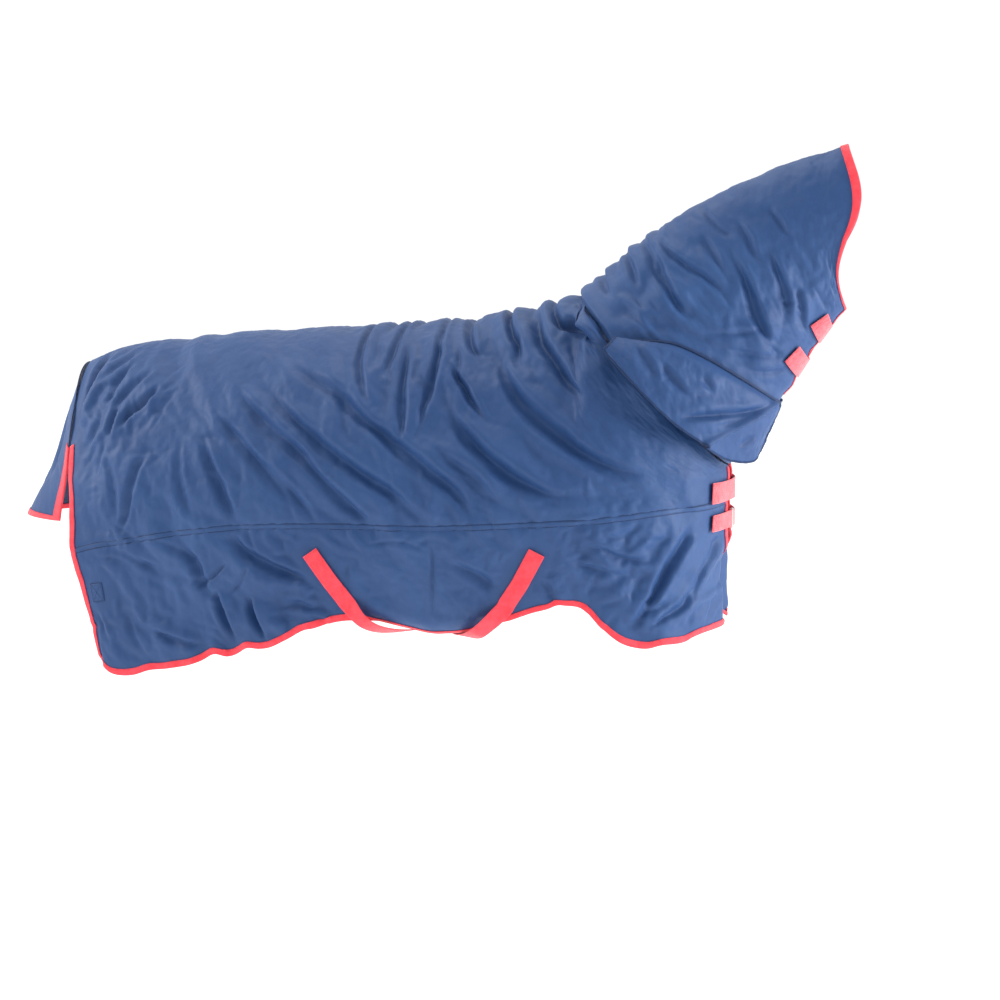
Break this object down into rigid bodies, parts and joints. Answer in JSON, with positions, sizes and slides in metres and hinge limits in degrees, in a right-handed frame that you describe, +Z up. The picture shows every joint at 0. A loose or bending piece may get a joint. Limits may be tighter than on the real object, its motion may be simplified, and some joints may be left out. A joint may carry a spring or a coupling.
{
  "type": "turnout rug",
  "caption": "Full-neck turnout rug in its worn shape, with side panels, tail flap, neck cover and flaps, throat and chest straps and crossed belly surcingles.",
  "frame": {"origin": "on the horse's back at the withers, at the lining's inner face, on the centre plane", "axes": "+X towards the horse's head, +Y to the horse's left, +Z up"},
  "size_m": [2.1241, 0.7066, 1.2763],
  "materials": {
    "navy_cloth": "fine ripstop-like plain weave, slightly satin, water resistant",
    "navy_lining": "smooth nylon lining",
    "red_binding": "folded woven tape, top-stitched",
    "red_webbing": "flat woven polypropylene webbing",
    "loop_tape": "brushed loop pile",
    "steel": "nickel plated stamped steel",
    "black_rubber": "matt moulded"
  },
  "bodies": {
    "root": {"back_panel": "navy_cloth", "body_lining": "navy_lining", "side_panel_right": "navy_cloth", "side_seam_right": "navy_cloth", "hem_binding_right": "red_binding", "rear_binding_right": "red_binding", "front_binding_right": "red_binding", "side_panel_left": "navy_cloth", "side_seam_left": "navy_cloth", "hem_binding_left": "red_binding", "rear_binding_left": "red_binding", "front_binding_left": "red_binding", "neck_panel": "navy_cloth", "neck_lining": "navy_lining", "face_binding": "red_binding", "throat_binding_right": "red_binding", "throat_binding_left": "red_binding", "surcingle_rear_webbing": "red_webbing", "surcingle_rear_slot_plate": "steel", "surcingle_rear_tab": "red_webbing", "surcingle_front_webbing": "red_webbing", "surcingle_front_slot_plate": "steel", "surcingle_front_tab": "red_webbing", "throat_lower_strap_anchor": "red_webbing", "throat_lower_loop_patch": "loop_tape", "throat_upper_strap_anchor": "red_webbing", "throat_upper_loop_patch": "loop_tape", "chest_upper_loop_patch": "loop_tape", "chest_upper_strap_anchor": "red_webbing", "chest_lower_loop_patch": "loop_tape", "chest_lower_strap_anchor": "red_webbing", "leg_anchor_patch_right": "navy_cloth", "leg_ring_loop_right": "red_webbing", "leg_anchor_patch_left": "navy_cloth", "leg_ring_loop_left": "red_webbing"},
    "tail_flap": {"tail_flap_panel": "navy_cloth", "tail_flap_lining": "navy_lining", "tail_flap_binding": "red_binding"},
    "neck_flap_right": {"neck_flap_right": "navy_cloth", "neck_flap_piping_right": "navy_cloth"},
    "neck_flap_left": {"neck_flap_left": "navy_cloth", "neck_flap_piping_left": "navy_cloth"},
    "throat_strap_lower": {"throat_lower_strap": "red_webbing"},
    "throat_strap_upper": {"throat_upper_strap": "red_webbing"},
    "chest_strap_upper": {"chest_upper_strap": "red_webbing"},
    "chest_strap_lower": {"chest_lower_strap": "red_webbing", "chest_lower_slide": "steel"},
    "surcingle_rear_end": {"surcingle_rear_end": "red_webbing", "surcingle_rear_hook": "steel", "surcingle_rear_keeper": "black_rubber"},
    "surcingle_front_end": {"surcingle_front_end": "red_webbing", "surcingle_front_hook": "steel", "surcingle_front_keeper": "black_rubber"},
    "surcingle_rear_slider": {"surcingle_rear_slider": "steel"},
    "surcingle_front_slider": {"surcingle_front_slider": "steel"},
    "leg_ring_right": {"leg_ring_right": "steel"},
    "leg_ring_left": {"leg_ring_left": "steel"}
  },
  "joints": [
    {"name": "tail_flap_lift", "type": "hinge", "parent": "root", "child": "tail_flap", "pos_m": [-1.172, 0, -0.14], "axis": [0, 1, 0], "range_deg": [0, 100]},
    {"name": "neck_flap_right_lift", "type": "hinge", "parent": "root", "child": "neck_flap_right", "pos_m": [0.295, -0.238, -0.0605], "axis": [-0.919, -0.1895, 0.3458], "range_deg": [0, 60]},
    {"name": "neck_flap_left_lift", "type": "hinge", "parent": "root", "child": "neck_flap_left", "pos_m": [0.295, 0.238, -0.0605], "axis": [0.919, -0.1895, -0.3458], "range_deg": [0, 60]},
    {"name": "throat_lower_peel", "type": "hinge", "parent": "root", "child": "throat_strap_lower", "pos_m": [0.64442, 0.0544, -0.13097], "axis": [0.5316, -0.0814, 0.8431], "range_deg": [0, 110]},
    {"name": "throat_upper_peel", "type": "hinge", "parent": "root", "child": "throat_strap_upper", "pos_m": [0.69606, 0.04825, -0.05171], "axis": [0.5835, -0.0523, 0.8104], "range_deg": [0, 110]},
    {"name": "chest_upper_peel", "type": "hinge", "parent": "root", "child": "chest_strap_upper", "pos_m": [0.47344, 0.09096, -0.42474], "axis": [0, 0, 1], "range_deg": [0, 110]},
    {"name": "chest_lower_peel", "type": "hinge", "parent": "root", "child": "chest_strap_lower", "pos_m": [0.47339, 0.08174, -0.49607], "axis": [0, 0, 1], "range_deg": [0, 110]},
    {"name": "surcingle_rear_drop", "type": "hinge", "parent": "root", "child": "surcingle_rear_end", "pos_m": [-0.18607, 0.05595, -0.77679], "axis": [-0.9461, 0.3199, 0.0505], "range_deg": [0, 60]},
    {"name": "surcingle_front_drop", "type": "hinge", "parent": "root", "child": "surcingle_front_end", "pos_m": [-0.22302, 0.05612, -0.786], "axis": [-0.9523, -0.3017, -0.0464], "range_deg": [0, 75]},
    {"name": "surcingle_rear_adjust", "type": "slide", "parent": "surcingle_rear_end", "child": "surcingle_rear_slider", "axis": [0.322, 0.9459, 0.0407], "range_m": [-0.03, 0.01]},
    {"name": "surcingle_front_adjust", "type": "slide", "parent": "surcingle_front_end", "child": "surcingle_front_slider", "axis": [-0.3052, 0.9445, 0.1214], "range_m": [-0.03, 0.01]},
    {"name": "leg_ring_right_swing", "type": "hinge", "parent": "root", "child": "leg_ring_right", "pos_m": [-1.04042, -0.27153, -0.6877], "axis": [0.9625, -0.2297, 0.1443], "range_deg": [0, 80]},
    {"name": "leg_ring_left_swing", "type": "hinge", "parent": "root", "child": "leg_ring_left", "pos_m": [-1.04042, 0.27153, -0.6877], "axis": [-0.9625, -0.2297, -0.1443], "range_deg": [0, 80]}
  ]
}
